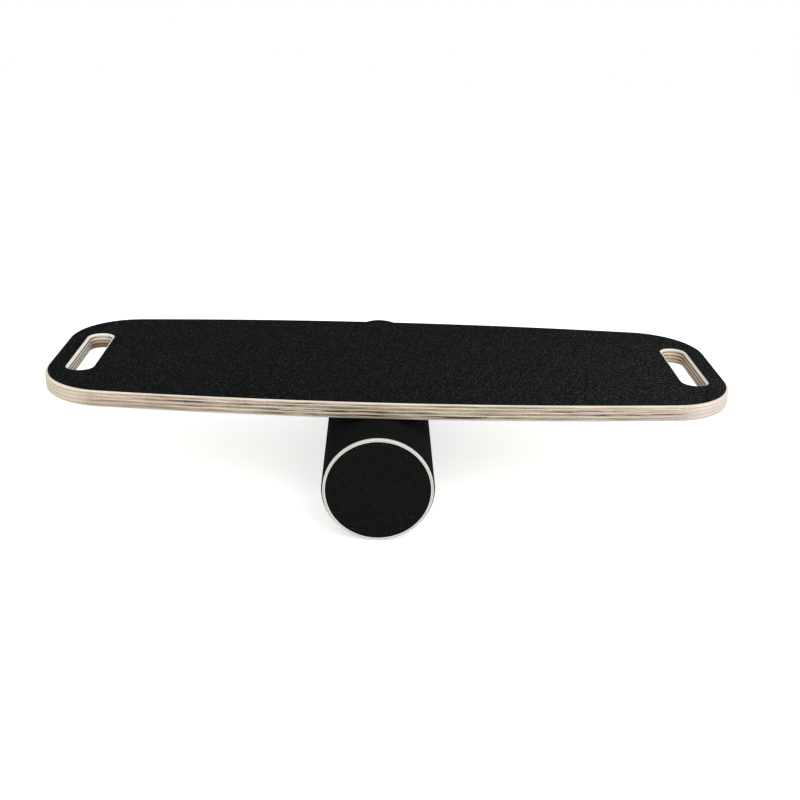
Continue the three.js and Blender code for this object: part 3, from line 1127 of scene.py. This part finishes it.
# %% Make the batten screws
def make_screw(name, place, node):
    """Drawn head up at the origin, then turned over and set in its hole."""
    bm = bmesh.new()
    bmesh.ops.create_circle(bm, segments=SCREW_SIDES, radius=SCREW_HEAD / 2)
    rim = bm.edges[:]
    cross = cross_outline(bm)
    bmesh.ops.triangle_fill(bm, edges=rim + cross, use_beauty=True, normal=Z_AXIS)
    draw_down(bm, cross, [(RECESS_DEPTH, RECESS_FLOOR_SHARE)])
    cone = (SCREW_HEAD - SCREW_SHANK) / 2
    straight = SCREW_LENGTH - SCREW_RIM - cone - POINT_LENGTH
    legs = [
        (SCREW_RIM, 1),
        (cone, SCREW_SHANK / SCREW_HEAD),
        (straight, 1),
        (POINT_LENGTH, TIP_SHARE),
    ]
    draw_down(bm, rim, legs)
    rotate(bm, bm.verts, math.pi, "X")
    bmesh.ops.translate(bm, verts=bm.verts, vec=place + Z_AXIS * SCREW_SUNK)
    make_piece(name, bm, "deck", "screw_steel", zinc, node)


for word in ("left", "right"):
    for i, place in enumerate(screw_places(word), 1):
        make_screw(f"batten_screw_{word}_{i}", place, f"stop_screw_{word}_{i}")

# %% [markdown]
# ## Inside the roller
# A plywood plug closes each end of the pipe behind its disc, and three screws hold each plug.
# They can't be seen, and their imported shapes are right, so they only take their finishes. A
# plug's stack of sheets is turned to lie along the roller.


# %% Finish the plugs and their screws
def refinish(name, material):
    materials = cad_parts[name].data.materials
    materials.clear()
    materials.append(material)
    print(name, "takes", material.name)


for word in ("front", "back"):
    _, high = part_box(f"end_plug_{word}")
    plywood, *_ = birch_plywood(
        f"birch_plywood_{word}_plug", (roller_at.x, high.y, roller_at.z), (QUARTER, 0, 0)
    )
    refinish(f"end_plug_{word}", plywood)
    for i in (1, 2, 3):
        refinish(f"plug_screw_{word}_{i}", zinc)

# %% [markdown]
# ## Floor and light
# The floor is a sweep of white studio paper, matt and without a pattern that shows. To the camera
# it also glows a little, so that it reads as white while the lamps stay at a plain level and the
# soft shadow under the set remains. Two broad soft lamps and a pale world light the set.


# %% Rays that reach the camera
def seen_or_mirrored(tree):
    """1 for a ray from the camera, and for one that a shiny or a clear surface sends on."""
    path = add(tree, "ShaderNodeLightPath", [])
    seen = path.outputs["Is Camera Ray"]
    for ray in ("Is Glossy Ray", "Is Transmission Ray"):
        seen = add(tree, "ShaderNodeMath", [seen, path.outputs[ray]], operation="ADD")
    return seen


# %% Floor
FLOOR_HALF = 4.0
FLOOR_GLOW = 0.6
WHITE = (1, 1, 1, 1)


def studio_paper():
    finish, tree, shader = new_finish("white_studio_paper")
    glow = [seen_or_mirrored(tree), FLOOR_GLOW]
    look = {
        "Base Color": colour("#f0f0f0"),
        "Roughness": 0.9,
        "Specular IOR Level": 0.1,
        "Emission Color": WHITE,
        "Emission Strength": add(tree, "ShaderNodeMath", glow, operation="MULTIPLY"),
    }
    feed(shader, look)
    return finish


bm = bmesh.new()
bmesh.ops.create_grid(bm, x_segments=1, y_segments=1, size=FLOOR_HALF)
floor_mesh = bpy.data.meshes.new("floor")
bm.to_mesh(floor_mesh)
bm.free()
floor_mesh.materials.append(studio_paper())
floor = bpy.data.objects.new("floor", floor_mesh)
bpy.context.scene.collection.objects.link(floor)
print("floor", 2 * FLOOR_HALF, "m across")

# %% World
WORLD_LIGHT = 0.55

world = bpy.data.worlds.new("studio")
bpy.context.scene.world = world
world.use_nodes = True
sky = world.node_tree
strength = add(sky, "ShaderNodeMapRange", [seen_or_mirrored(sky), 0, 1, WORLD_LIGHT, 1])
feed(sky.nodes["Background"], {"Color": WHITE, "Strength": strength})
print("world lights with", WORLD_LIGHT, "and shows white")


# %% Lamps
def soft_lamp(name, towards, spread, strength):
    """A sun behind a diffuser: towards is where it stands, and spread its width in degrees."""
    lamp = bpy.data.lights.new(name, "SUN")
    lamp.angle = math.radians(spread)
    lamp.energy = strength
    stand = bpy.data.objects.new(name, lamp)
    bpy.context.scene.collection.objects.link(stand)
    stand.rotation_euler = Vector(towards).to_track_quat("Z", "Y").to_euler()
    print(name, "lamp of strength", strength, "from", towards)


soft_lamp("key", towards=(0.9, -0.9, 1.1), spread=50, strength=1.6)
soft_lamp("fill", towards=(-0.6, -1.0, 0.9), spread=60, strength=0.6)

# %% Show colours as they are
bpy.context.scene.view_settings.view_transform = "Standard"
